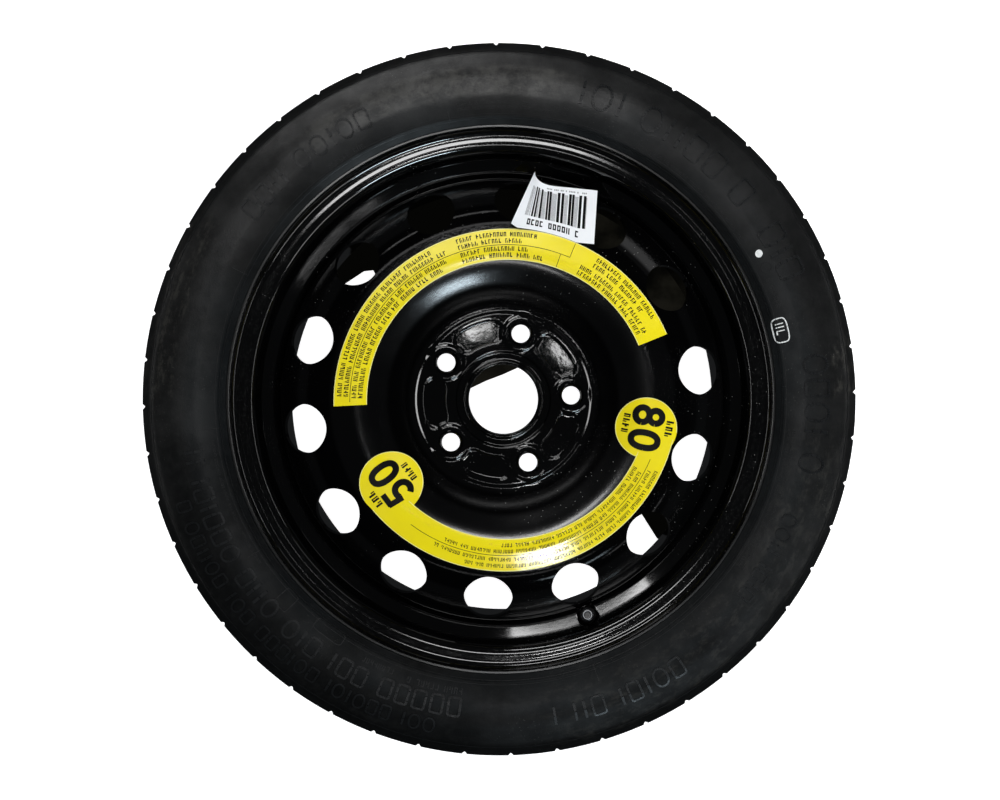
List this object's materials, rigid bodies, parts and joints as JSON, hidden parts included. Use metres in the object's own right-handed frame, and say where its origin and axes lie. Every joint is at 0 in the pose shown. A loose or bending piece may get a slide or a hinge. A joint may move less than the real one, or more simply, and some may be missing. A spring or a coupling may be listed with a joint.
{
  "type": "space saver spare wheel",
  "caption": "Narrow temporary car wheel: a tyre on a pressed steel rim and vented disc with a centre bore, ball-seat bolt holes, a snap-in valve and label bands.",
  "frame": {"origin": "on the wheel's axis, in the middle of the rim's width", "axes": "+Z along the wheel's axis, out of its outer face; +X to the right and +Y up as the outer face is seen, with the valve at 291 degrees"},
  "size_m": [0.5814, 0.5814, 0.125],
  "materials": {
    "tyre": "matte",
    "black_paint": "gloss black",
    "weld": "painted over",
    "valve_rubber": "matte",
    "brass": "turned",
    "gasket": "matte",
    "steel": "bright",
    "seal": "matte",
    "cap": "satin",
    "yellow_film": "glossy film",
    "white_film": "paper label"
  },
  "bodies": {
    "wheel": {"tyre": "tyre", "rim": "black_paint", "disc": "black_paint", "weld_beads": "weld", "valve_body": "valve_rubber", "valve_stem": "brass", "core_plug": "brass", "core_barrel": "brass", "core_gasket": "gasket", "core_spring": "steel", "upper_label": "yellow_film", "lower_label": "yellow_film", "paper_label": "white_film"},
    "valve_cap": {"valve_cap": "cap", "valve_cap_seal": "seal"},
    "valve_pin": {"core_pin": "steel", "core_cup": "brass", "core_cup_seal": "seal"}
  },
  "joints": [
    {"name": "cap_lift", "type": "slide", "parent": "wheel", "child": "valve_cap", "axis": [-0.0879, 0.2254, 0.9703], "range_m": [0, 0.015]},
    {"name": "pin_press", "type": "slide", "parent": "wheel", "child": "valve_pin", "axis": [0.0879, -0.2254, -0.9703], "range_m": [0, 0.0012], "stiffness_N_per_m": 1500, "springref_m": -0.0008, "deforming": ["core_spring"]}
  ]
}
